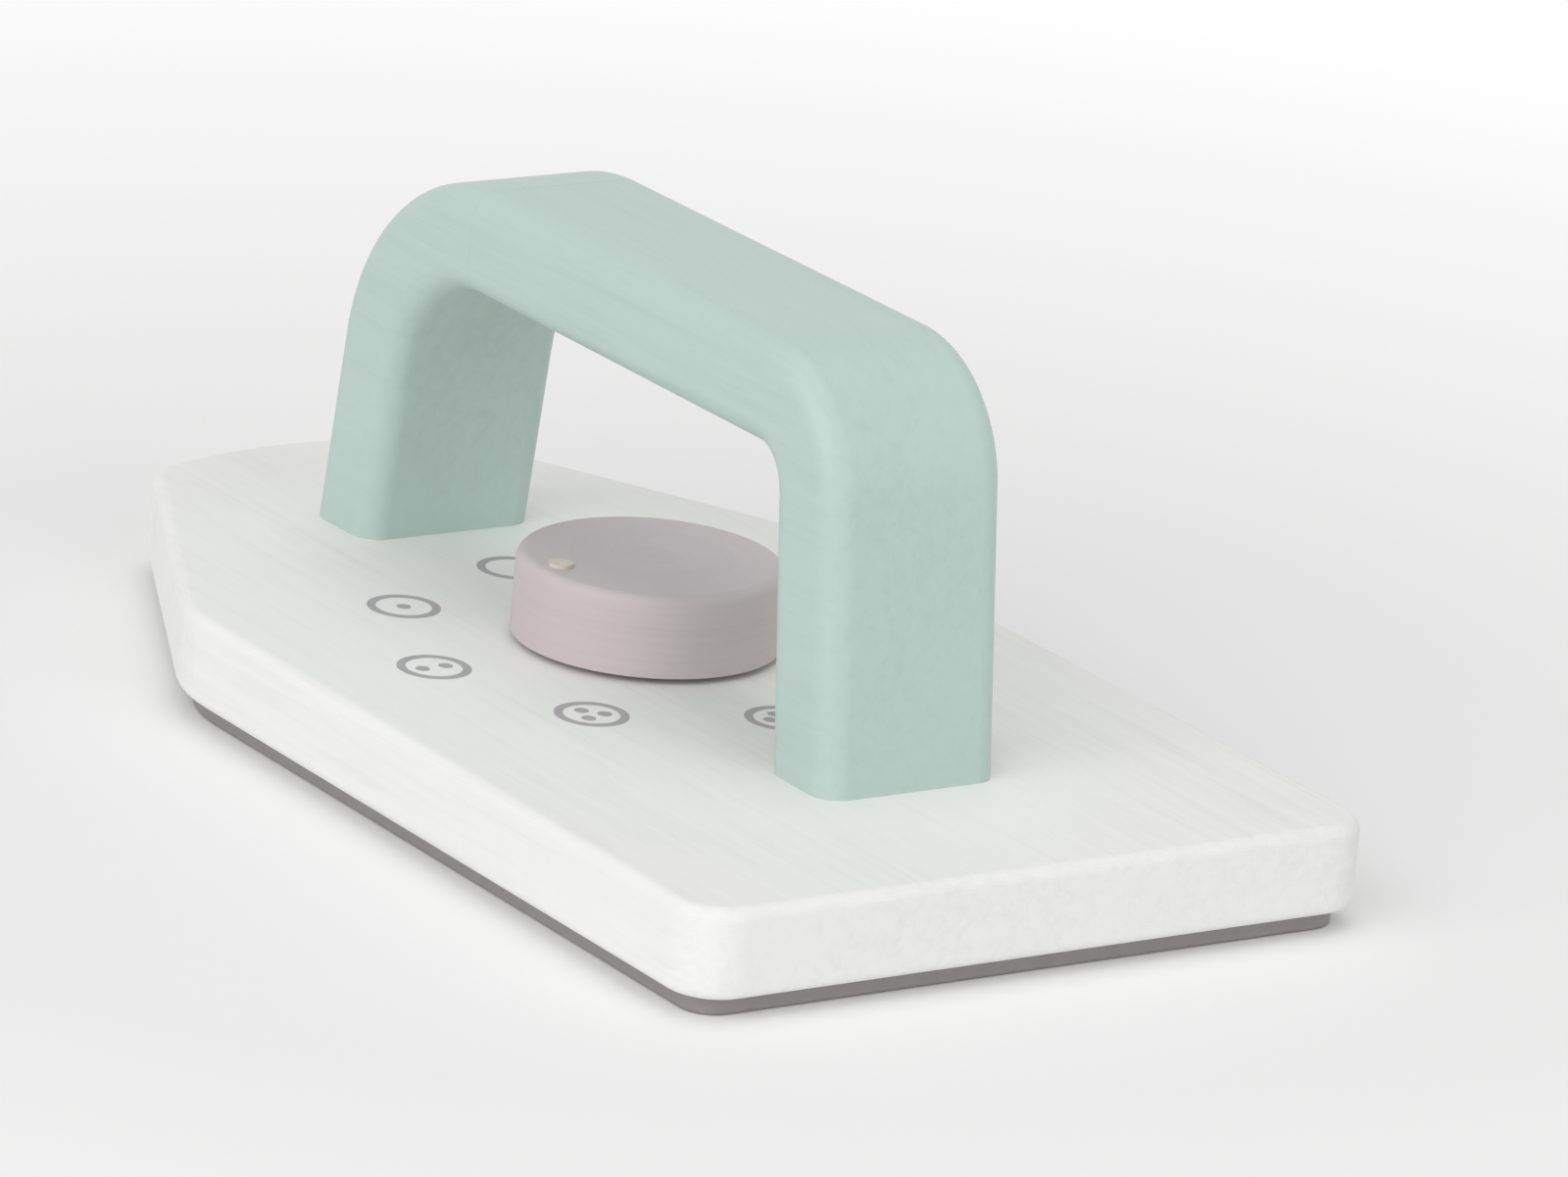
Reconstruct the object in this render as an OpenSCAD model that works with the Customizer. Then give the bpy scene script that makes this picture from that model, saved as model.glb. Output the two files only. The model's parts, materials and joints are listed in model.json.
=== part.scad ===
// Toy iron: a wooden body on a thin sole, an arched handle and a dial that turns.
// Sizes are in millimetres. +X points to the nose, +Z is up, and the sole rests on Z = 0.

/* [Body] */
// Length from heel to nose
body_length = 184; // [150:1:230]
// Width across the parallel sides
body_width = 103; // [92:1:140]
// Thickness of the wooden body
body_thick = 12; // [9:0.5:16]
// Distance from the nose to the middle of the shoulder's round
shoulder_setback = 66; // [55:1:80]
// Radius where the sides turn into the straight tapers
shoulder_round = 24; // [12:1:40]
// Width across the corners of the blunt nose
nose_width = 48; // [36:1:56]
// Radius of the nose's front edge
nose_round = 60; // [45:1:80]
// Radius where the tapers turn into the nose
cheek_round = 9; // [6:0.5:12]
// Corner radius at the heel
heel_round = 7; // [5:0.5:12]
// Radius of the soft top and bottom edges
body_edge = 1.8; // [0.8:0.1:3]

/* [Sole] */
// Thickness of the sole board
sole_thick = 2.5; // [1.5:0.1:4]
// Distance that the sole stands back from the edge of the body
sole_inset = 2.5; // [1.5:0.1:4]
// Radius of the sole's edges
sole_edge = 0.5; // [0.2:0.1:0.7]

/* [Handle] */
// Distance from the heel to the rear foot of the handle
heel_setback = 30; // [24:1:45]
// Distance from the tip of the nose to the front foot of the handle
nose_setback = 29; // [20:1:35]
// Height of the handle above the body
handle_rise = 54; // [44:0.5:70]
// Width of the handle across the iron
handle_width = 27; // [20:0.5:30]
// Thickness of the grip and of the legs
grip_thick = 14; // [12:0.5:18]
// Lean of each leg, in degrees
handle_splay = 7; // [0:0.5:12]
// Radius of the rear bend on the middle line of the grip
rear_bend = 12; // [11:0.5:18]
// Radius of the rounder front bend on the middle line of the grip
front_bend = 24; // [14:0.5:28]
// Radius of the handle's soft edges
grip_edge = 3.6; // [2:0.2:5]

/* [Dial] */
// Diameter of the knob
dial_diameter = 35.5; // [26:0.5:40]
// Height of the knob
dial_height = 11; // [9:0.5:14]
// Radius of the knob's top edge
dial_edge = 1.6; // [0.6:0.1:2.5]
// Wood left over the threaded insert
knob_top_wall = 3; // [2:0.5:4]
// Diameter of the pointer peg
pointer_diameter = 3.2; // [2.4:0.2:4]
// Distance from the rim of the knob to the middle of the peg
pointer_setback = 3.6; // [3.2:0.2:4.6]
// Direction of the peg at rest, in degrees from the nose
pointer_turn = 90; // [0:5:355]
// Height that the peg stands above the knob
pointer_proud = 0.5; // [0.2:0.1:1]
// Depth of the peg in the knob
pointer_depth = 3; // [2:0.5:5]
// Thickness of the felt ring and of the bush flange
felt_thick = 0.8; // [0.6:0.1:1.5]

/* [Fixings] */
// Diameter of the bolt that carries the dial
bolt_diameter = 5; // [4:0.5:6]
// Diameter of the wood screws that hold the handle
screw_diameter = 4; // [3.5:0.1:4.5]
// Length of the wood screws
screw_length = 30; // [22:1:34]
// Diameter of the dowels that place the handle
dowel_diameter = 6; // [5:0.5:6.5]
// Depth of each dowel in the handle
dowel_rise = 10; // [8:0.5:14]
// Wood left under the dowels in the body
dowel_floor = 2.5; // [2:0.25:4]
// Thickness of the flat washer
washer_thick = 1; // [0.8:0.1:1.4]

/* [Fits] */
// Gap all round a glued or driven piece
glue_gap = 0.03; // [0.01:0.01:0.1]
// Gap all round a shaft that turns, and under the knob
running_gap = 0.06; // [0.03:0.01:0.1]
// Gap round a piece that must not touch
free_gap = 0.3; // [0.3:0.05:0.6]

/* [Hidden] */
$fn = 96;

deck_z = sole_thick + body_thick;

// Outline of the body
half_length = body_length / 2;
half_width = body_width / 2;
cheek_y = nose_width / 2 - 0.7 * cheek_round;
nose_x = half_length - nose_round;
nose_swing = asin(cheek_y / (nose_round - cheek_round));

// Handle: middle line of the legs and the grip, measured from the deck
dial_x = (heel_setback - nose_setback) / 2;
foot_half = (body_length - heel_setback - nose_setback) / 2;
grip_mid_z = handle_rise - grip_thick / 2;
foot_mid = foot_half - grip_thick / 2 / cos(handle_splay);
bend_turn = 90 - handle_splay;
rear_reach = rear_bend * tan(bend_turn / 2);
front_reach = front_bend * tan(bend_turn / 2);
grip_half = foot_mid - grip_mid_z * tan(handle_splay);
leg_length = grip_mid_z / cos(handle_splay) + grip_thick;

// Handle fixings
dowel_mid = foot_mid - dowel_rise / 2 * tan(handle_splay);
dowel_y = handle_width / 2 - dowel_diameter / 2 - 2;
dowel_low = sole_thick + dowel_floor;
dowel_length = body_thick - dowel_floor + dowel_rise - 2 * glue_gap;
dowel_chamfer = 0.8;
screw_head = 2 * screw_diameter;
screw_low = sole_thick + free_gap;
screw_sink = (screw_head - screw_diameter) / 2;
screw_tip = screw_diameter;
screw_grip = screw_length - body_thick;
screw_mid = foot_mid - screw_grip / 2 * tan(handle_splay);

// Dial fixings, stacked down from the ceiling of the recess under the body
head_diameter = 1.9 * bolt_diameter;
head_height = 0.52 * bolt_diameter;
socket_width = 0.6 * bolt_diameter;
spring_thick = 0.5;
spring_rise = 0.3;
washer_diameter = 2.2 * bolt_diameter;
hardware_bore = bolt_diameter + 2 * free_gap;
recess_diameter = washer_diameter + 3;
recess_depth = free_gap + head_height + running_gap + spring_thick + spring_rise + washer_thick;
recess_top = sole_thick + recess_depth;
washer_low = recess_top - washer_thick;
spring_low = washer_low - spring_rise - spring_thick;
head_top = spring_low - running_gap;
bush_diameter = bolt_diameter + 3;
flange_diameter = bush_diameter + 3;
bush_bore = bolt_diameter + 2 * running_gap;

// Dial
knob_low = deck_z + felt_thick + running_gap;
dial_radius = dial_diameter / 2;
insert_diameter = bolt_diameter + 3;
insert_length = dial_height - knob_top_wall;
bolt_top = knob_low + insert_length - free_gap;
felt_outer = dial_diameter - 6;
felt_inner = flange_diameter + 2 * free_gap;
pointer_r = dial_radius - pointer_setback;

// Overlaps: how far a cutter runs past a face, and how the handle's straights enter its bends
overcut = 1;
join_run = 0.2;
join_step = 0.02;

// Round disc with soft top and bottom edges
module soft_puck(radius, thick, soft) {
    rotate_extrude($fn = 64) {
        square([radius - soft, thick]);
        translate([0, soft])
            square([radius, thick - 2 * soft]);
        for (z = [soft, thick - soft])
            translate([radius - soft, z])
                circle(r = soft, $fn = 24);
    }
}

// Slab with the outline of the iron moved in by inset
module soft_slab(inset, thick, soft) {
    hull() {
        for (side = [-1, 1]) {
            translate([heel_round - half_length, side * (half_width - heel_round), 0])
                soft_puck(heel_round - inset, thick, soft);
            translate([half_length - shoulder_setback, side * (half_width - shoulder_round), 0])
                soft_puck(shoulder_round - inset, thick, soft);
        }
        for (k = [-1 : 1 / 3 : 1])
            translate([nose_x, 0, 0])
                rotate([0, 0, k * nose_swing])
                    translate([nose_round - cheek_round, 0, 0])
                        soft_puck(cheek_round - inset, thick, soft);
    }
}

// Section of the handle, made smaller all round by shy: thickness along x, width along y
module grip_section(shy) {
    t = grip_thick / 2 - grip_edge;
    w = handle_width / 2 - grip_edge;
    square([grip_thick - 2 * shy, 2 * w], center = true);
    square([2 * t, handle_width - 2 * shy], center = true);
    for (x = [-t, t], y = [-w, w])
        translate([x, y])
            circle(r = grip_edge - shy);
}

// One leg of the handle and its bend, on the nose side, where reach is what the bend takes off each straight
module leg_and_bend(bend, reach) {
    translate([grip_half - reach, 0, grip_mid_z - bend])
        rotate([90, 0, 0])
            rotate([0, 0, handle_splay]) {
                rotate_extrude(angle = bend_turn)
                    translate([bend, 0])
                        grip_section(0);
                translate([bend, join_run, 0])
                    rotate([90, 0, 0])
                        linear_extrude(leg_length - reach)
                            grip_section(join_step);
            }
}

// Places for the four dowels
module at_dowels() {
    for (x = [-dowel_mid, dowel_mid], y = [-dowel_y, dowel_y])
        translate([dial_x + x, y, dowel_low])
            children();
}

// Places for the two screws
module at_screws() {
    for (x = [-screw_mid, screw_mid])
        translate([dial_x + x, 0, screw_low])
            children();
}

// Wooden body with its holes and the recess for the dial bolt
module base_body() {
    color([0.93, 0.93, 0.92])
        difference() {
            translate([0, 0, sole_thick])
                soft_slab(0, body_thick, body_edge);
            at_dowels()
                cylinder(d = dowel_diameter + 2 * glue_gap, h = body_thick);
            at_screws() {
                translate([0, 0, -overcut])
                    cylinder(d = screw_diameter + 2 * glue_gap, h = body_thick + 2 * overcut);
                translate([0, 0, -overcut])
                    cylinder(d = screw_head + 2 * glue_gap, h = overcut);
                cylinder(d1 = screw_head + 2 * glue_gap, d2 = screw_diameter + 2 * glue_gap,
                         h = screw_sink);
            }
            translate([dial_x, 0, sole_thick - overcut])
                cylinder(d = recess_diameter, h = recess_depth + overcut);
            translate([dial_x, 0, sole_thick])
                cylinder(d = bush_diameter + 2 * glue_gap, h = body_thick + overcut);
        }
}

// Thin board under the body, soft along its lower edge only
module sole_board() {
    color([0.62, 0.62, 0.64])
        difference() {
            soft_slab(sole_inset, 2 * sole_thick, sole_edge);
            translate([-body_length, -body_width, sole_thick])
                cube([2 * body_length, 2 * body_width, 2 * sole_thick]);
        }
}

// Arched handle with the holes in the ends of its legs
module handle() {
    color([0.72, 0.85, 0.80])
        difference() {
            translate([dial_x, 0, deck_z]) {
                leg_and_bend(front_bend, front_reach);
                mirror([1, 0, 0])
                    leg_and_bend(rear_bend, rear_reach);
                translate([rear_reach - grip_half - join_run, 0, grip_mid_z])
                    rotate([0, 90, 0])
                        linear_extrude(2 * (grip_half + join_run) - rear_reach - front_reach)
                            grip_section(join_step);
            }
            translate([dial_x - body_length, -body_width, deck_z - 3 * grip_thick])
                cube([2 * body_length, 2 * body_width, 3 * grip_thick]);
            at_dowels()
                cylinder(d = dowel_diameter + 2 * glue_gap, h = dowel_length + 2 * glue_gap);
            at_screws()
                cylinder(d = screw_diameter + 2 * glue_gap, h = screw_length + glue_gap);
        }
}

// Four dowels with chamfered ends
module handle_dowels() {
    r = dowel_diameter / 2;
    color([0.85, 0.70, 0.50])
        at_dowels()
            translate([0, 0, glue_gap]) {
                cylinder(r1 = r - dowel_chamfer, r2 = r, h = dowel_chamfer);
                translate([0, 0, dowel_chamfer])
                    cylinder(r = r, h = dowel_length - 2 * dowel_chamfer);
                translate([0, 0, dowel_length - dowel_chamfer])
                    cylinder(r1 = r, r2 = r - dowel_chamfer, h = dowel_chamfer);
            }
}

// Two countersunk wood screws with a cross slot in the head
module handle_screws() {
    slot = screw_diameter / 4;
    color([0.70, 0.70, 0.68])
        at_screws()
            difference() {
                union() {
                    cylinder(d1 = screw_head, d2 = screw_diameter, h = screw_sink);
                    translate([0, 0, screw_sink])
                        cylinder(d = screw_diameter, h = screw_length - screw_sink - screw_tip);
                    translate([0, 0, screw_length - screw_tip])
                        cylinder(d1 = screw_diameter, d2 = slot, h = screw_tip);
                }
                for (a = [0, 90])
                    rotate([0, 0, a])
                        translate([-screw_diameter / 2, -slot / 2, -overcut])
                            cube([screw_diameter, slot, overcut + screw_sink / 2]);
            }
}

// Round knob with a soft top edge, a blind hole for the insert and a hole for the peg
module dial_knob() {
    color([0.68, 0.62, 0.65])
        translate([dial_x, 0, knob_low])
            difference() {
                rotate_extrude() {
                    square([dial_radius - dial_edge, dial_height]);
                    square([dial_radius, dial_height - dial_edge]);
                    translate([dial_radius - dial_edge, dial_height - dial_edge])
                        circle(r = dial_edge);
                }
                translate([0, 0, -overcut])
                    cylinder(d = insert_diameter + 2 * glue_gap, h = insert_length + glue_gap + overcut);
                rotate([0, 0, pointer_turn])
                    translate([pointer_r, 0, dial_height - pointer_depth - glue_gap])
                        cylinder(d = pointer_diameter + 2 * glue_gap, h = pointer_depth + overcut);
            }
}

// Peg in the top of the knob that shows the setting
module dial_pointer() {
    color([0.95, 0.93, 0.90])
        translate([dial_x, 0, knob_low + dial_height - pointer_depth])
            rotate([0, 0, pointer_turn])
                translate([pointer_r, 0, 0])
                    cylinder(d = pointer_diameter, h = pointer_depth + pointer_proud);
}

// Threaded insert in the knob
module dial_insert() {
    color([0.80, 0.65, 0.30])
        translate([dial_x, 0, knob_low])
            difference() {
                cylinder(d = insert_diameter, h = insert_length);
                translate([0, 0, -overcut])
                    cylinder(d = bolt_diameter + 2 * glue_gap, h = insert_length + 2 * overcut);
            }
}

// Bolt that carries the dial, with a six-sided socket in its head
module dial_bolt() {
    color([0.60, 0.60, 0.62])
        translate([dial_x, 0, 0])
            difference() {
                union() {
                    translate([0, 0, head_top - head_height])
                        cylinder(d1 = 0.7 * head_diameter, d2 = head_diameter, h = head_height / 2);
                    translate([0, 0, head_top - head_height / 2])
                        cylinder(d = head_diameter, h = head_height / 2);
                    translate([0, 0, head_top])
                        cylinder(d = bolt_diameter, h = bolt_top - head_top);
                }
                translate([0, 0, head_top - head_height - overcut])
                    cylinder(d = socket_width, h = head_height * 0.6 + overcut, $fn = 6);
            }
}

// Flanged bush in the body
module dial_bush() {
    color([0.90, 0.90, 0.86])
        translate([dial_x, 0, 0])
            difference() {
                union() {
                    translate([0, 0, recess_top])
                        cylinder(d = bush_diameter, h = deck_z - recess_top);
                    translate([0, 0, deck_z])
                        cylinder(d = flange_diameter, h = felt_thick);
                }
                translate([0, 0, recess_top - overcut])
                    cylinder(d = bush_bore, h = deck_z + felt_thick - recess_top + 2 * overcut);
            }
}

// Felt ring under the knob
module dial_felt() {
    color([0.45, 0.45, 0.47])
        translate([dial_x, 0, deck_z])
            difference() {
                cylinder(d = felt_outer, h = felt_thick);
                translate([0, 0, -overcut])
                    cylinder(d = felt_inner, h = felt_thick + 2 * overcut);
            }
}

// Flat washer on the ceiling of the recess
module dial_washer() {
    color([0.75, 0.75, 0.76])
        translate([dial_x, 0, washer_low])
            difference() {
                cylinder(d = washer_diameter, h = washer_thick);
                translate([0, 0, -overcut])
                    cylinder(d = hardware_bore, h = washer_thick + 2 * overcut);
            }
}

// Conical spring washer between the flat washer and the bolt head
module dial_spring() {
    inner = hardware_bore / 2;
    outer = head_diameter / 2;
    color([0.50, 0.50, 0.52])
        translate([dial_x, 0, spring_low])
            rotate_extrude()
                polygon([[inner, 0], [outer, spring_rise], [outer, spring_rise + spring_thick],
                         [inner, spring_thick]]);
}

base_body();
sole_board();
handle();
handle_dowels();
handle_screws();
dial_knob();
dial_pointer();
dial_insert();
dial_bolt();
dial_bush();
dial_felt();
dial_washer();
dial_spring();
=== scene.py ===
import json
import math

import bmesh
import bpy
from mathutils import Matrix, Vector


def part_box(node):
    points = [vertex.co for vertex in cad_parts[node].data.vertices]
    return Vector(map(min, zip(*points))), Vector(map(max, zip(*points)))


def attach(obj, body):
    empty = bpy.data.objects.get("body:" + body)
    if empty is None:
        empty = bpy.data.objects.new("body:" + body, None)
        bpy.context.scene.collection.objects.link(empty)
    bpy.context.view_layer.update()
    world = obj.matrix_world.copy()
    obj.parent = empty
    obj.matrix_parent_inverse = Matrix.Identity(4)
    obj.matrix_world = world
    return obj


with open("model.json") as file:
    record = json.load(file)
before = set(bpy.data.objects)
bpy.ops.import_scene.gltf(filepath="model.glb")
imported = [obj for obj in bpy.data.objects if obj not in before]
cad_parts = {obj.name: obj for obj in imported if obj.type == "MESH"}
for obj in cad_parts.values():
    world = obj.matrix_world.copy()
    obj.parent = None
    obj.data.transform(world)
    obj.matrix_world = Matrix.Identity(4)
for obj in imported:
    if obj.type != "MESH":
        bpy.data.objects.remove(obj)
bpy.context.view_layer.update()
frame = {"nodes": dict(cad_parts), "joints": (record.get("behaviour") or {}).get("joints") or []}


# Sole board
# A thin board of plywood under the body, set back a little from its edge all round.
# It is painted a flat warm grey, glued on last, and hides the screws and the dial bolt.
# Its dark grey is partly painted shade: the grey band it shows under the white edge stands in for
# part of the contact shade there.
SOLE_GREY_AND_SHADE = (0.290, 0.280, 0.272, 1)
SOLE_WORN = (0.420, 0.395, 0.355, 1)
MM = 0.001
NOISE_SPAN = (0.3, 0.7)
MIX_FACTOR, MIX_BELOW, MIX_ABOVE, MIX_COLOUR = 0, 6, 7, 2
EDGE_SAMPLES = 6
EDGE_REACH = 1.6 * MM
PORE_SHOW = 0.10
PAINT_SHINE = 0.45


def start_finish(name):
    """A new node material: the material, its tree and its surface shader."""
    finish = bpy.data.materials.new(name)
    finish.use_nodes = True
    return finish, finish.node_tree, finish.node_tree.nodes["Principled BSDF"]


def put(tree, kind, values=None, **settings):
    """Adds a node, with its settings and the values of its unlinked sockets."""
    node = tree.nodes.new(kind)
    for key, value in settings.items():
        setattr(node, key, value)
    for socket, value in (values or {}).items():
        node.inputs[socket].default_value = value
    return node


def coat(tree, surface, colour, roughness, normal):
    """Gives a surface its colour, its roughness and its bump."""
    for socket, value in (("Base Color", colour), ("Roughness", roughness), ("Normal", normal)):
        tree.links.new(value, surface.inputs[socket])


def millimetres(tree, stretch=(1, 1, 1)):
    """The piece's own coordinates in millimetres, squeezed by stretch along each axis."""
    place = put(tree, "ShaderNodeTexCoord")
    scale = put(tree, "ShaderNodeMapping", {"Scale": [s / MM for s in stretch]})
    tree.links.new(place.outputs["Object"], scale.inputs["Vector"])
    return scale.outputs["Vector"]


def mottle(tree, vector, scale, detail=2.0, roughness=0.5, distortion=0.0):
    """Soft random variation from 0 to 1, nearly all of it within the noise span."""
    noise = put(tree, "ShaderNodeTexNoise", {
        "Scale": scale,
        "Detail": detail,
        "Roughness": roughness,
        "Distortion": distortion,
    })
    tree.links.new(vector, noise.inputs["Vector"])
    return noise.outputs["Fac"]


def spread(tree, value, span, onto=(0.0, 1.0)):
    """Maps a value from one span onto another, and clamps it."""
    node = put(tree, "ShaderNodeMapRange", {
        "From Min": span[0],
        "From Max": span[1],
        "To Min": onto[0],
        "To Max": onto[1],
    })
    tree.links.new(value, node.inputs["Value"])
    return node.outputs["Result"]


def combine(tree, operation, first, second):
    """Arithmetic on two values of the surface, or on one of them and a number."""
    node = put(tree, "ShaderNodeMath", operation=operation)
    for socket, value in zip(node.inputs, (first, second)):
        if isinstance(value, (int, float)):
            socket.default_value = value
        else:
            tree.links.new(value, socket)
    return node.outputs["Value"]


def blend(tree, first, second, share):
    """Two variations as one, where share is the part of the first."""
    return combine(tree, "ADD", combine(tree, "MULTIPLY", first, share),
                   combine(tree, "MULTIPLY", second, 1 - share))


def shade(tree, value, stops):
    """A colour for each value: stops are pairs of place and colour."""
    ramp = put(tree, "ShaderNodeValToRGB")
    while len(ramp.color_ramp.elements) < len(stops):
        ramp.color_ramp.elements.new(0.5)
    for element, (place, colour) in zip(ramp.color_ramp.elements, stops):
        element.position = place
        element.color = colour
    tree.links.new(value, ramp.inputs["Fac"])
    return ramp.outputs["Color"]


def lay_over(tree, factor, below, above):
    """One colour over another, where above is the same everywhere."""
    mix = put(tree, "ShaderNodeMix", {MIX_ABOVE: above}, data_type="RGBA")
    tree.links.new(factor, mix.inputs[MIX_FACTOR])
    tree.links.new(below, mix.inputs[MIX_BELOW])
    return mix.outputs[MIX_COLOUR]


def roughen(tree, height, depth, onto=None):
    """Bump of a real depth in metres, on top of an earlier bump."""
    bump = put(tree, "ShaderNodeBump", {"Strength": 1.0, "Distance": depth})
    tree.links.new(height, bump.inputs["Height"])
    if onto is not None:
        tree.links.new(onto, bump.inputs["Normal"])
    return bump.outputs["Normal"]


def rubbed_and_highlit_edges(tree, vector):
    """Mask of the edges that hands and boxes rub, broken up so that it isn't a line. The colour
    laid on it is rubbed paint, and where that colour is lighter than the paint it is also a painted
    highlight.
    """
    soft = put(tree, "ShaderNodeBevel", {"Radius": EDGE_REACH}, samples=EDGE_SAMPLES)
    plain = put(tree, "ShaderNodeNewGeometry")
    along = put(tree, "ShaderNodeVectorMath", operation="DOT_PRODUCT")
    tree.links.new(soft.outputs["Normal"], along.inputs[0])
    tree.links.new(plain.outputs["Normal"], along.inputs[1])
    edge = spread(tree, along.outputs["Value"], (0.995, 0.90))
    patches = mottle(tree, vector, scale=0.45, detail=4.0, roughness=0.6)
    return combine(tree, "MULTIPLY", edge, spread(tree, patches, (0.45, 0.68)))


def tint(colour, by):
    """The same colour, lighter or darker."""
    return tuple(min(1.0, c * by) for c in colour[:3]) + (1,)


def along_x(tree):
    """Wood grain that runs from heel to nose."""
    return millimetres(tree, (0.045, 1, 1))


def paint_over_wood(name, paint, edge_wear_and_highlight, grain_of, rub=0.35, gloss=(0.36, 0.54)):
    """Satin paint on sanded wood: the grain shows faintly, and edges take the worn colour, which is
    rubbed paint and, where it is lighter than the paint, also a painted highlight.
    """
    finish, tree, surface = start_finish(name)
    here = millimetres(tree)
    fibres = grain_of(tree)
    grain = mottle(tree, fibres, scale=0.62, detail=6.0, roughness=0.62, distortion=0.5)
    pores = spread(tree, mottle(tree, fibres, scale=2.1, detail=3.0, roughness=0.55), (0.58, 0.72))
    cloud = mottle(tree, here, scale=0.035, detail=3.0)
    peel = mottle(tree, here, scale=1.3)

    colour = shade(tree, blend(tree, grain, cloud, share=0.6), [
        (0.30, tint(paint, 0.93)),
        (0.50, paint),
        (0.72, tint(paint, 1.03)),
    ])
    pores = combine(tree, "MULTIPLY", pores, PORE_SHOW)
    colour = lay_over(tree, pores, colour, tint(paint, 0.78))
    # Edge colour: rubbed paint, plus a painted highlight along the edges where it is lighter than
    # the paint.
    edge = combine(tree, "MULTIPLY", rubbed_and_highlit_edges(tree, here), rub)
    colour = lay_over(tree, edge, colour, edge_wear_and_highlight)

    roughness = spread(tree, blend(tree, peel, cloud, share=0.5), NOISE_SPAN, gloss)
    bump = roughen(tree, grain, depth=0.030 * MM)
    bump = roughen(tree, peel, depth=0.008 * MM, onto=bump)
    coat(tree, surface, colour, roughness, bump)
    surface.inputs["Specular IOR Level"].default_value = PAINT_SHINE
    return finish


def dress(node, finish):
    """Gives a solid of the frame its finish."""
    frame["nodes"][node].material_slots[0].material = finish


dress("sole_board", paint_over_wood("sole_grey_paint", SOLE_GREY_AND_SHADE, SOLE_WORN, along_x, rub=0.5))


# Body
# A flat slab of sanded beech in the outline of an iron, blunt at the nose, with soft edges.
# It has two or three coats of satin white paint, and the grain just shows in raking light.
BODY_WHITE = (0.900, 0.900, 0.886, 1)
BODY_WORN = (0.730, 0.670, 0.560, 1)

dress("base_body", paint_over_wood("body_white_paint", BODY_WHITE, BODY_WORN, along_x, rub=0.22,
                                   gloss=(0.50, 0.68)))


# Setting marks
# Grey ink, pad-printed on the white paint in a ring round the dial before the handle goes on.
# A circle with one to four dots or one to three strokes is a setting, and an empty one is off.
INK_GREY = (0.450, 0.430, 0.445, 1)
INK_THICK = 0.05 * MM
INK_SUNK = 0.02 * MM
RING_RADIUS = 32.4 * MM
MARK_RADIUS = 4.3 * MM
MARK_LINE = 1.15 * MM
MARK_SIDES = 48
DOT_RADIUS = 0.95 * MM
DOT_REACH = 1.75 * MM
BLOT_SIDES = 28
STROKE_RADIUS = 0.5 * MM
STROKE_HALF = 1.5 * MM
STROKE_PITCH = 1.9 * MM
DOTS = {0: 0, 45: 1, 90: 2, 135: 3, 180: 4}
STROKES = {225: 3, 270: 2, 315: 1}
WELD = 1e-7

dial_axis = Vector(frame["joints"][0]["pos_m"])
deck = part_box("base_body")[1].z


def print_blot(ink, place, radius, half_length=0.0, turn=0.0):
    """A round blot of ink, drawn out to a stroke along the turn where it has a length."""
    rim = bmesh.ops.create_circle(ink, cap_ends=True, radius=radius, segments=BLOT_SIDES)["verts"]
    for vert in rim:
        vert.co.x += math.copysign(half_length, vert.co.x)
    raised = bmesh.ops.extrude_face_region(ink, geom=list(rim[0].link_faces))["geom"]
    top = [part for part in raised if isinstance(part, bmesh.types.BMVert)]
    bmesh.ops.translate(ink, verts=top, vec=(0, 0, INK_THICK + INK_SUNK))
    bmesh.ops.rotate(ink, verts=rim + top, cent=(0, 0, 0), matrix=Matrix.Rotation(turn, 3, "Z"))
    bmesh.ops.translate(ink, verts=rim + top, vec=place)


def print_circle(ink, place, radius, line):
    """A thin circle of ink, spun from its cross section."""
    low, high = place.z, place.z + INK_THICK + INK_SUNK
    near, far = place.x + radius - line / 2, place.x + radius + line / 2
    corners = ((near, low), (far, low), (far, high), (near, high))
    section = [ink.verts.new((x, place.y, z)) for x, z in corners]
    edges = [ink.edges.new((section[k], section[(k + 1) % 4])) for k in range(4)]
    bmesh.ops.spin(ink, geom=section + edges, cent=place, axis=(0, 0, 1), angle=math.tau,
                   steps=MARK_SIDES, use_merge=True)


def mark_place(turn, out=0.0, along=0.0):
    """A point of the mark at a turn of the dial, moved out from the dial and along the ring."""
    away = Matrix.Rotation(math.radians(turn), 3, "Z") @ Vector((RING_RADIUS + out, along, 0))
    return Vector((dial_axis.x + away.x, dial_axis.y + away.y, deck - INK_SUNK))


def finish_mesh(name, shape):
    """Closes a modelled shape and makes it an object of the scene."""
    bmesh.ops.remove_doubles(shape, verts=shape.verts, dist=WELD)
    bmesh.ops.recalc_face_normals(shape, faces=shape.faces)
    mesh = bpy.data.meshes.new(name)
    shape.to_mesh(mesh)
    shape.free()
    piece = bpy.data.objects.new(name, mesh)
    bpy.context.scene.collection.objects.link(piece)
    return piece


def printed_ink(name, colour):
    """Pad-printed ink: a thin matt film, a little starved in places."""
    finish, tree, surface = start_finish(name)
    here = millimetres(tree)
    starved = mottle(tree, here, scale=2.6, detail=4.0, roughness=0.65)
    tone = blend(tree, starved, mottle(tree, here, scale=0.3), share=0.6)
    stops = [(0.34, tint(colour, 0.88)), (0.55, colour), (0.74, tint(colour, 1.22))]
    coat(tree, surface, shade(tree, tone, stops),
         spread(tree, starved, NOISE_SPAN, (0.50, 0.66)),
         roughen(tree, starved, depth=0.004 * MM))
    return finish


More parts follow.
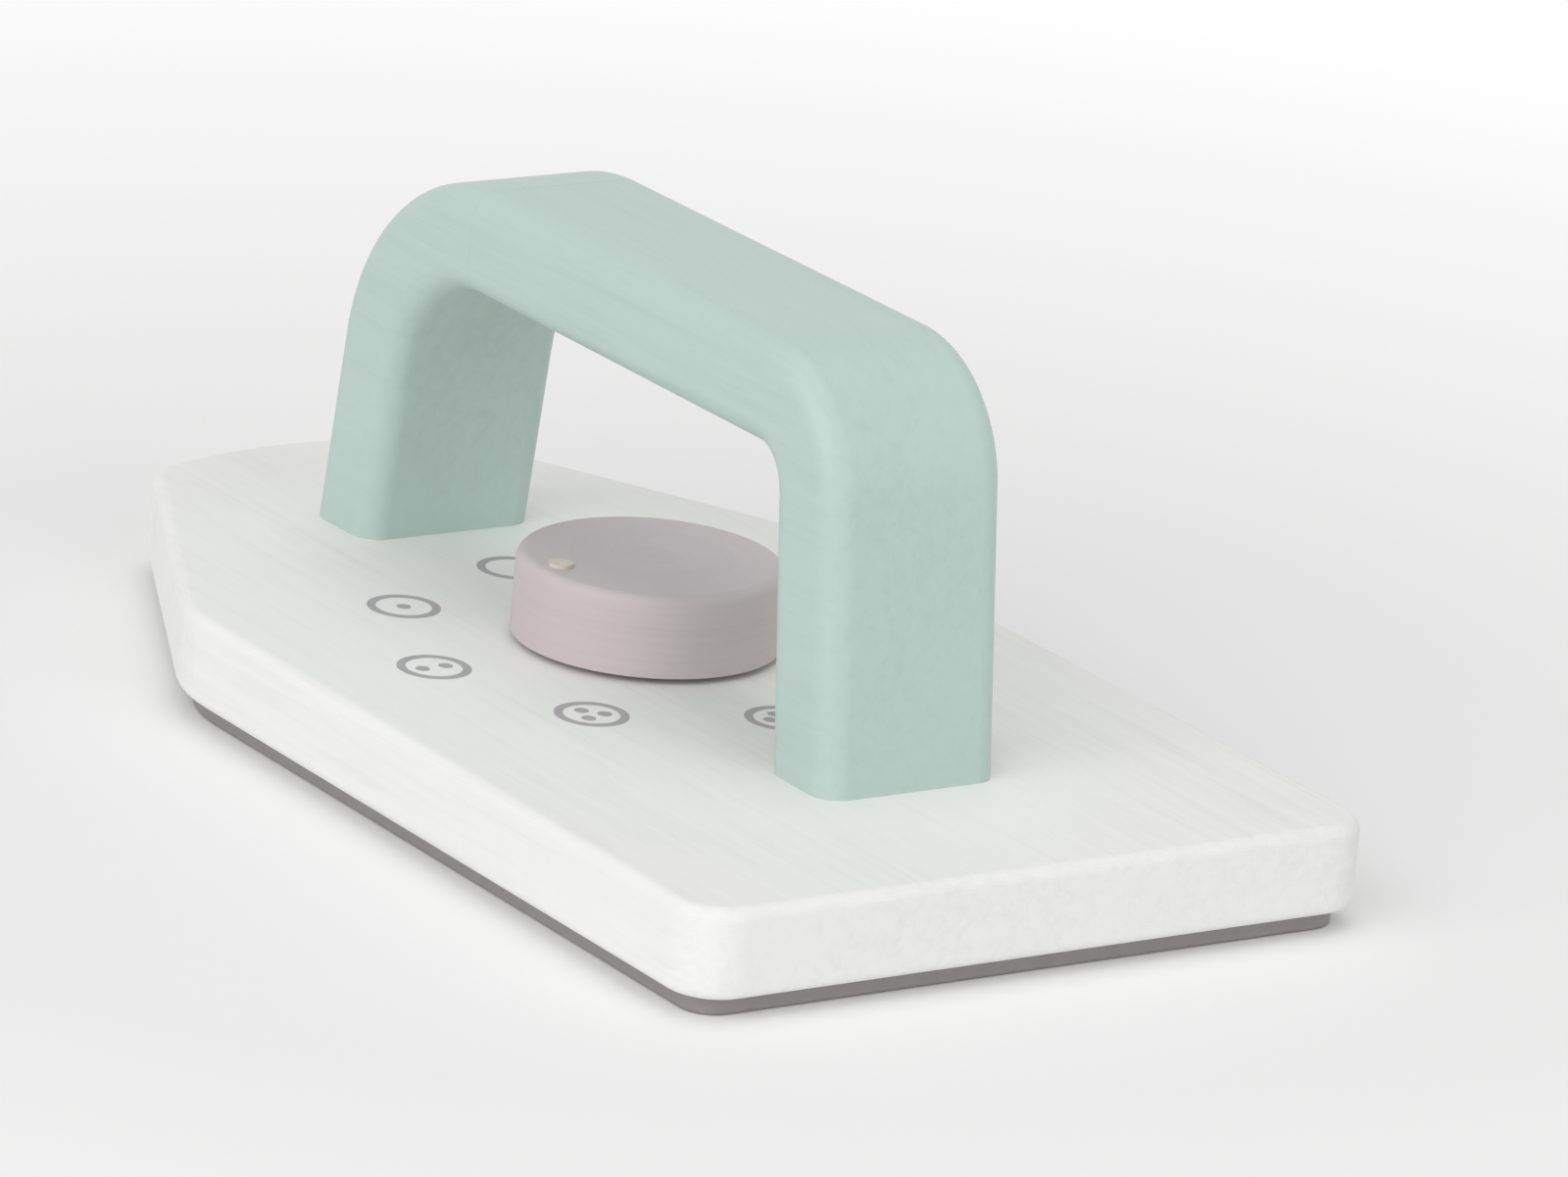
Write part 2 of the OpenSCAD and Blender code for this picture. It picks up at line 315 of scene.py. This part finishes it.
ink = bmesh.new()
for turn in [*DOTS, *STROKES]:
    print_circle(ink, mark_place(turn), MARK_RADIUS, MARK_LINE)
for turn, count in DOTS.items():
    for k in range(count):
        swing = math.tau * k / count
        reach = DOT_REACH if count > 1 else 0.0
        place = mark_place(turn, reach * math.cos(swing), reach * math.sin(swing))
        print_blot(ink, place, DOT_RADIUS)
for turn, count in STROKES.items():
    for k in range(count):
        place = mark_place(turn, 0.0, (k - (count - 1) / 2) * STROKE_PITCH)
        print_blot(ink, place, STROKE_RADIUS, STROKE_HALF, math.radians(turn))

setting_marks = finish_mesh("setting_marks", ink)
setting_marks.data.materials.append(printed_ink("setting_ink", INK_GREY))
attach(setting_marks, "iron")


# Handle dowels
# Four beech dowels, two in each leg, glued half in the body and half in the handle.
# They are bare wood, and set the handle straight before the screws pull it down.
BEECH_LIGHT = (0.60, 0.40, 0.22, 1)
BEECH_DARK = (0.44, 0.26, 0.13, 1)


def bare_wood(name, light, dark):
    """Bare close-grained wood on end: fine dark pores and slow bands that run upwards."""
    finish, tree, surface = start_finish(name)
    fibres = millimetres(tree, (1, 1, 0.06))
    pores = mottle(tree, fibres, scale=3.2, detail=3.0, roughness=0.6)
    bands = mottle(tree, fibres, scale=0.35, detail=5.0, roughness=0.6, distortion=0.8)
    tone = blend(tree, bands, pores, share=0.7)
    coat(tree, surface, shade(tree, tone, [(0.34, dark), (0.66, light)]),
         spread(tree, pores, NOISE_SPAN, (0.62, 0.78)),
         roughen(tree, pores, depth=0.02 * MM))
    return finish


dress("handle_dowels", bare_wood("dowel_beech", BEECH_LIGHT, BEECH_DARK))


# Handle
# One arch cut from a thick beech board with the grain along the grip, rounder at the nose end.
# Its edges are rounded over for a small hand. It is sprayed in pale mint, glued on its dowels
# and screwed from under the body.
HANDLE_MINT = (0.512, 0.645, 0.600, 1)
# Its rubbed edges are lighter mint: worn paint, and a painted highlight along the rounded edges.
HANDLE_WORN_AND_HIGHLIGHT = (0.650, 0.720, 0.675, 1)

dress("handle", paint_over_wood("handle_mint_paint", HANDLE_MINT, HANDLE_WORN_AND_HIGHLIGHT, along_x, rub=0.30))


# Handle screws
# Two countersunk wood screws of zinc-plated steel with a cross slot in the head.
# They go up through the body into the legs, and the sole board covers their heads.
SCREW_ZINC = (0.58, 0.58, 0.55, 1)


def plated_metal(name, colour, rough=(0.28, 0.42), drawn=(1, 1, 0.1)):
    """Plated or plain metal with fine drawing lines and a cloudy plating."""
    finish, tree, surface = start_finish(name)
    lines = mottle(tree, millimetres(tree, drawn), scale=5.0, detail=4.0, roughness=0.6)
    clouds = mottle(tree, millimetres(tree), scale=0.5, detail=3.0)
    tone = blend(tree, lines, clouds, share=0.5)
    coat(tree, surface, shade(tree, tone, [(0.3, tint(colour, 0.84)), (0.7, tint(colour, 1.1))]),
         spread(tree, tone, NOISE_SPAN, rough),
         roughen(tree, lines, depth=0.005 * MM))
    surface.inputs["Metallic"].default_value = 1.0
    return finish


dress("handle_screws", plated_metal("screw_zinc", SCREW_ZINC))


# Dial bush
# A flanged bush of natural nylon, pressed into the body from above, that the dial bolt turns in.
# Its flange is as thick as the felt ring round it.
BUSH_NYLON = (0.78, 0.76, 0.68, 1)


def moulded_nylon(name, colour):
    """Unfilled nylon, slightly waxy, with the fine texture of its mould."""
    finish, tree, surface = start_finish(name)
    here = millimetres(tree)
    spark = mottle(tree, here, scale=4.0, detail=3.0, roughness=0.6)
    clouds = mottle(tree, here, scale=0.4)
    coat(tree, surface, shade(tree, clouds, [(0.3, tint(colour, 0.93)), (0.7, tint(colour, 1.04))]),
         spread(tree, spark, NOISE_SPAN, (0.42, 0.56)),
         roughen(tree, spark, depth=0.006 * MM))
    surface.inputs["Subsurface Weight"].default_value = 0.1
    surface.inputs["Subsurface Radius"].default_value = (1.2 * MM, 1.0 * MM, 0.8 * MM)
    return finish


dress("dial_bush", moulded_nylon("bush_nylon", BUSH_NYLON))


# Felt ring
# A ring punched from thin grey wool felt, glued to the white paint round the bush.
# The knob glides on it and marks the paint less.
FELT_GREY = (0.155, 0.155, 0.165, 1)


def pressed_felt(name, colour):
    """Wool felt: matted fibres in every direction, with a soft sheen at its edges."""
    finish, tree, surface = start_finish(name)
    here = millimetres(tree)
    matted = mottle(tree, here, scale=3.4, detail=6.0, roughness=0.72, distortion=1.4)
    tufts = mottle(tree, here, scale=0.9, detail=3.0, roughness=0.6)
    stops = [(0.3, tint(colour, 0.6)), (0.52, colour), (0.75, tint(colour, 1.7))]
    coat(tree, surface, shade(tree, blend(tree, matted, tufts, share=0.65), stops),
         spread(tree, matted, NOISE_SPAN, (0.86, 0.98)),
         roughen(tree, matted, depth=0.09 * MM))
    surface.inputs["Sheen Weight"].default_value = 0.35
    surface.inputs["Sheen Roughness"].default_value = 0.5
    return finish


dress("dial_felt", pressed_felt("felt_grey", FELT_GREY))


# Dial knob
# A short round knob turned from beech on a lathe, its top edge rounded over by hand.
# Dull mauve paint covers it, and the turning lines just show in rings round its axis.
KNOB_MAUVE = (0.622, 0.547, 0.566, 1)
# Its rubbed edges are lighter mauve: worn paint, and a painted highlight along the rounded rim.
KNOB_WORN_AND_HIGHLIGHT = (0.700, 0.645, 0.650, 1)


def round_dial(tree):
    """Turning lines: rings round the dial's axis on its top, and level lines round its side."""
    place = put(tree, "ShaderNodeTexCoord")
    moved = put(tree, "ShaderNodeVectorMath", {1: dial_axis}, operation="SUBTRACT")
    level = put(tree, "ShaderNodeVectorMath", {1: (1 / MM, 1 / MM, 0)}, operation="MULTIPLY")
    reach = put(tree, "ShaderNodeVectorMath", operation="LENGTH")
    split = put(tree, "ShaderNodeSeparateXYZ")
    rings = put(tree, "ShaderNodeCombineXYZ")
    tree.links.new(place.outputs["Object"], moved.inputs[0])
    tree.links.new(moved.outputs["Vector"], level.inputs[0])
    tree.links.new(level.outputs["Vector"], reach.inputs[0])
    tree.links.new(moved.outputs["Vector"], split.inputs["Vector"])
    tree.links.new(reach.outputs["Value"], rings.inputs["X"])
    tree.links.new(combine(tree, "MULTIPLY", split.outputs["Z"], 1 / MM), rings.inputs["Z"])
    return rings.outputs["Vector"]


dress("dial_knob", paint_over_wood("knob_mauve_paint", KNOB_MAUVE, KNOB_WORN_AND_HIGHLIGHT, round_dial, rub=0.30,
                                   gloss=(0.40, 0.56)))


# Pointer peg
# A short peg of pale wood, glued into a hole near the rim of the knob.
# It is left a little proud, so that a finger feels the setting.
PEG_LIGHT = (0.80, 0.74, 0.66, 1)
PEG_DARK = (0.66, 0.57, 0.47, 1)

dress("dial_pointer", bare_wood("peg_pale_wood", PEG_LIGHT, PEG_DARK))


# Dial bolt, insert, washer and spring washer
# A button-head bolt comes up through spring washer and washer into a brass insert in the knob.
# All are stock hardware, hidden behind the sole board once the iron is closed.
BRASS = (0.62, 0.43, 0.16, 1)
BOLT_ZINC = (0.50, 0.50, 0.53, 1)
WASHER_ZINC = (0.60, 0.60, 0.61, 1)
SPRING_STEEL = (0.26, 0.26, 0.28, 1)
ROLLED = (0.1, 1, 1)

dress("dial_insert", plated_metal("insert_brass", BRASS, rough=(0.25, 0.38)))
dress("dial_bolt", plated_metal("bolt_zinc", BOLT_ZINC))
dress("dial_washer", plated_metal("washer_zinc", WASHER_ZINC, rough=(0.32, 0.46), drawn=ROLLED))
dress("dial_spring", plated_metal("spring_steel", SPRING_STEEL, rough=(0.30, 0.44), drawn=ROLLED))


# Floor
# A wide pale table top that takes the iron's shadow.
# It runs out into white, so that no horizon shows.
FLOOR_PALE = (0.970, 0.970, 0.966, 1)
FLOOR_RADIUS = 2.6
FLOOR_SIDES = 96
FADE_FROM = 0.13
FADE_TO = 0.42
WHITE = (1, 1, 1, 1)


def seen_directly(tree):
    """1 for the eye, for reflections and for what shows through, and 0 for light on things."""
    path = put(tree, "ShaderNodeLightPath")
    seen = combine(tree, "MAXIMUM", path.outputs["Is Camera Ray"], path.outputs["Is Glossy Ray"])
    return combine(tree, "MAXIMUM", seen, path.outputs["Is Transmission Ray"])


def pale_table(name, colour):
    """Pale matt table that fades to white away from the iron, where it is seen directly."""
    finish, tree, surface = start_finish(name)
    surface.inputs["Roughness"].default_value = 0.9
    surface.inputs["Specular IOR Level"].default_value = 0.1
    here = put(tree, "ShaderNodeTexCoord")
    cloud = mottle(tree, here.outputs["Object"], scale=3.0)
    tone = shade(tree, cloud, [(0.3, tint(colour, 0.995)), (0.7, colour)])
    tree.links.new(tone, surface.inputs["Base Color"])
    far = put(tree, "ShaderNodeVectorMath", operation="LENGTH")
    tree.links.new(here.outputs["Object"], far.inputs[0])
    fade = spread(tree, far.outputs["Value"], (FADE_FROM, FADE_TO))
    white = put(tree, "ShaderNodeEmission", {"Color": WHITE, "Strength": 1.0})
    both = put(tree, "ShaderNodeMixShader")
    tree.links.new(combine(tree, "MULTIPLY", fade, seen_directly(tree)), both.inputs["Fac"])
    tree.links.new(surface.outputs["BSDF"], both.inputs[1])
    tree.links.new(white.outputs["Emission"], both.inputs[2])
    tree.links.new(both.outputs["Shader"], tree.nodes["Material Output"].inputs["Surface"])
    return finish


table_top = bmesh.new()
bmesh.ops.create_circle(table_top, cap_ends=True, radius=FLOOR_RADIUS, segments=FLOOR_SIDES)
floor = finish_mesh("floor", table_top)
floor.data.materials.append(pale_table("table_pale", FLOOR_PALE))


# Light
# A white room, a large soft box on the left, and weaker ones above and behind the heel.
# Each box stands far off, so that its light falls evenly, and has a direction, width and level.
ROOM_LEVEL = 0.45
LAMP_REACH = 3.0
LAMPS = {
    "soft_box_left": ((-0.30, 0.80, 0.52), 3.4, 0.48),
    "soft_box_heel": ((-0.85, -0.15, 0.50), 2.0, 0.14),
    "soft_box_above": ((0.05, -0.10, 1.00), 2.0, 0.16),
}

room = bpy.data.worlds.new("white_room")
bpy.context.scene.world = room
room.use_nodes = True
air = room.node_tree
glow = air.nodes["Background"]
glow.inputs["Color"].default_value = WHITE
strength = spread(air, seen_directly(air), (0.0, 1.0), (ROOM_LEVEL, 1.0))
air.links.new(strength, glow.inputs["Strength"])

for name, (toward, width, level) in LAMPS.items():
    lamp = bpy.data.lights.new(name, "AREA")
    lamp.shape = "DISK"
    lamp.size = width
    lamp.energy = level * (math.pi * LAMP_REACH) ** 2
    stand = bpy.data.objects.new(name, lamp)
    stand.location = Vector(toward).normalized() * LAMP_REACH
    stand.rotation_euler = (-stand.location).to_track_quat("-Z", "Y").to_euler()
    bpy.context.scene.collection.objects.link(stand)


# Camera
# A long lens looks from behind the heel's left corner, a little above the grip.
# It is tipped a few degrees, so that the iron leans as it does in the picture.
EYE = Vector((-1.0473, 0.7172, 0.425))
AIM = Vector((-0.0005, -0.0206, 0.020))
ROLL = math.radians(5.25)
LENS = 235
SENSOR_WIDTH = 36
NEAREST = 0.01

lens = bpy.data.cameras.new("camera")
lens.sensor_width = SENSOR_WIDTH
lens.lens = LENS
lens.clip_start = NEAREST
camera = bpy.data.objects.new("camera", lens)
camera.location = EYE
upright = (AIM - EYE).to_track_quat("-Z", "Y").to_matrix()
camera.rotation_euler = (upright @ Matrix.Rotation(ROLL, 3, "Z")).to_euler()
bpy.context.scene.collection.objects.link(camera)
bpy.context.scene.camera = camera
bpy.context.scene.view_settings.view_transform = "Standard"
